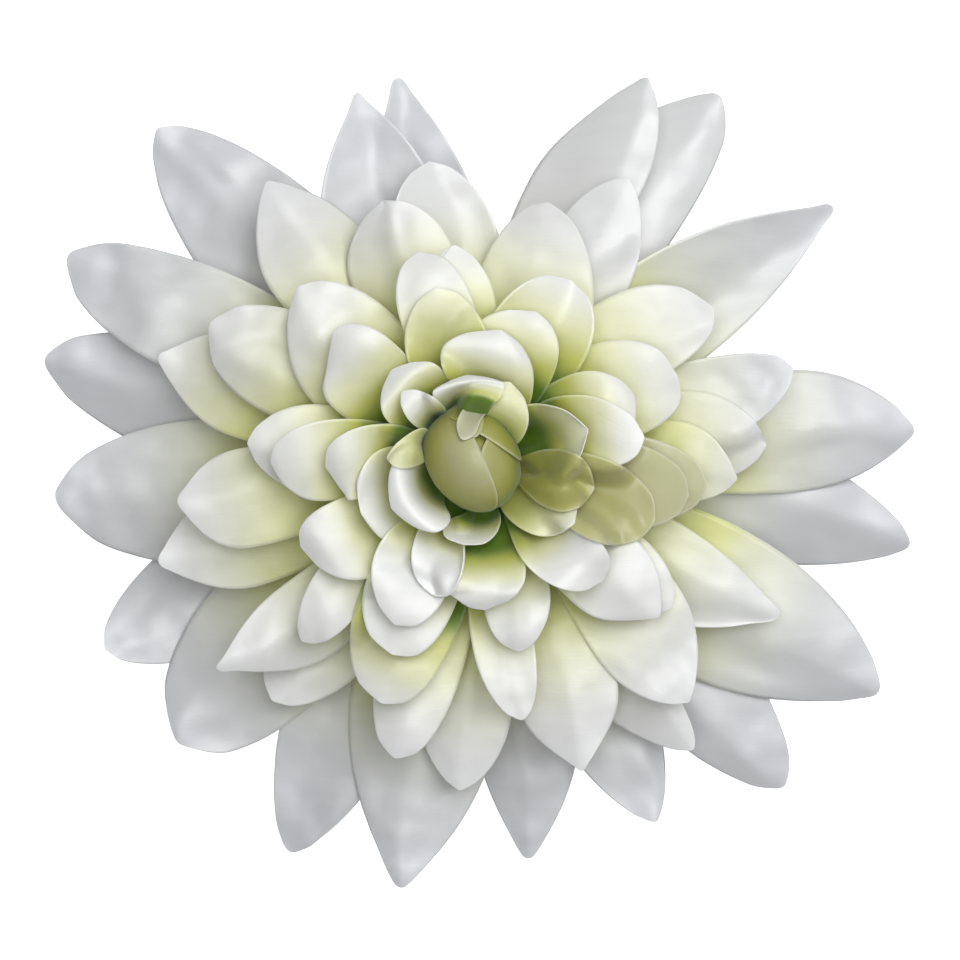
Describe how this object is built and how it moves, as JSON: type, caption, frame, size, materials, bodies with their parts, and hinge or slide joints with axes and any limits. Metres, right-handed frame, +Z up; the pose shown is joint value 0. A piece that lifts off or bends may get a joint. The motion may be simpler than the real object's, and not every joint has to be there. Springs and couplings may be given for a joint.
{
  "type": "fabric dahlia flower head",
  "caption": "Double dahlia flower head of layered, cupped satin petals round a wrapped bud, lying on its moulded calyx.",
  "frame": {"origin": "under the middle of the head's box, on the surface that the calyx foot stands on", "axes": "+Z up out of the flower's face, +X to the picture's right, +Y to the picture's top"},
  "size_m": [0.1304, 0.1214, 0.0467],
  "materials": {
    "outer petal satin": "satin",
    "inner petal satin": "satin",
    "bud satin": "satin",
    "peg green": "matt",
    "calyx green": "matt"
  },
  "bodies": {
    "root": {"petal_a_01": "outer petal satin", "petal_a_02": "outer petal satin", "petal_a_03": "outer petal satin", "petal_a_04": "outer petal satin", "petal_a_05": "outer petal satin", "petal_a_06": "outer petal satin", "petal_a_07": "outer petal satin", "petal_a_08": "outer petal satin", "petal_a_09": "outer petal satin", "petal_a_10": "outer petal satin", "petal_b_01": "outer petal satin", "petal_b_02": "outer petal satin", "petal_b_03": "outer petal satin", "petal_b_04": "outer petal satin", "petal_b_05": "outer petal satin", "petal_b_06": "outer petal satin", "petal_b_07": "outer petal satin", "petal_b_08": "outer petal satin", "petal_b_09": "outer petal satin", "petal_b_10": "outer petal satin", "petal_c_01": "outer petal satin", "petal_c_02": "outer petal satin", "petal_c_03": "outer petal satin", "petal_c_04": "outer petal satin", "petal_c_05": "outer petal satin", "petal_c_06": "outer petal satin", "petal_c_07": "outer petal satin", "petal_c_08": "outer petal satin", "petal_c_09": "outer petal satin", "petal_c_10": "outer petal satin", "petal_d_01": "inner petal satin", "petal_d_02": "inner petal satin", "petal_d_03": "inner petal satin", "petal_d_04": "inner petal satin", "petal_d_05": "inner petal satin", "petal_d_06": "inner petal satin", "petal_d_07": "inner petal satin", "petal_d_08": "inner petal satin", "petal_d_09": "inner petal satin", "petal_d_10": "inner petal satin", "petal_e_01": "inner petal satin", "petal_e_02": "inner petal satin", "petal_e_03": "inner petal satin", "petal_e_04": "inner petal satin", "petal_e_05": "inner petal satin", "petal_e_06": "inner petal satin", "petal_e_07": "inner petal satin", "petal_e_08": "inner petal satin", "petal_e_09": "inner petal satin", "petal_e_10": "inner petal satin", "rosette_f": "inner petal satin", "rosette_g": "inner petal satin", "rosette_h": "inner petal satin", "bud": "bud satin", "peg": "peg green", "calyx": "calyx green"}
  },
  "joints": []
}
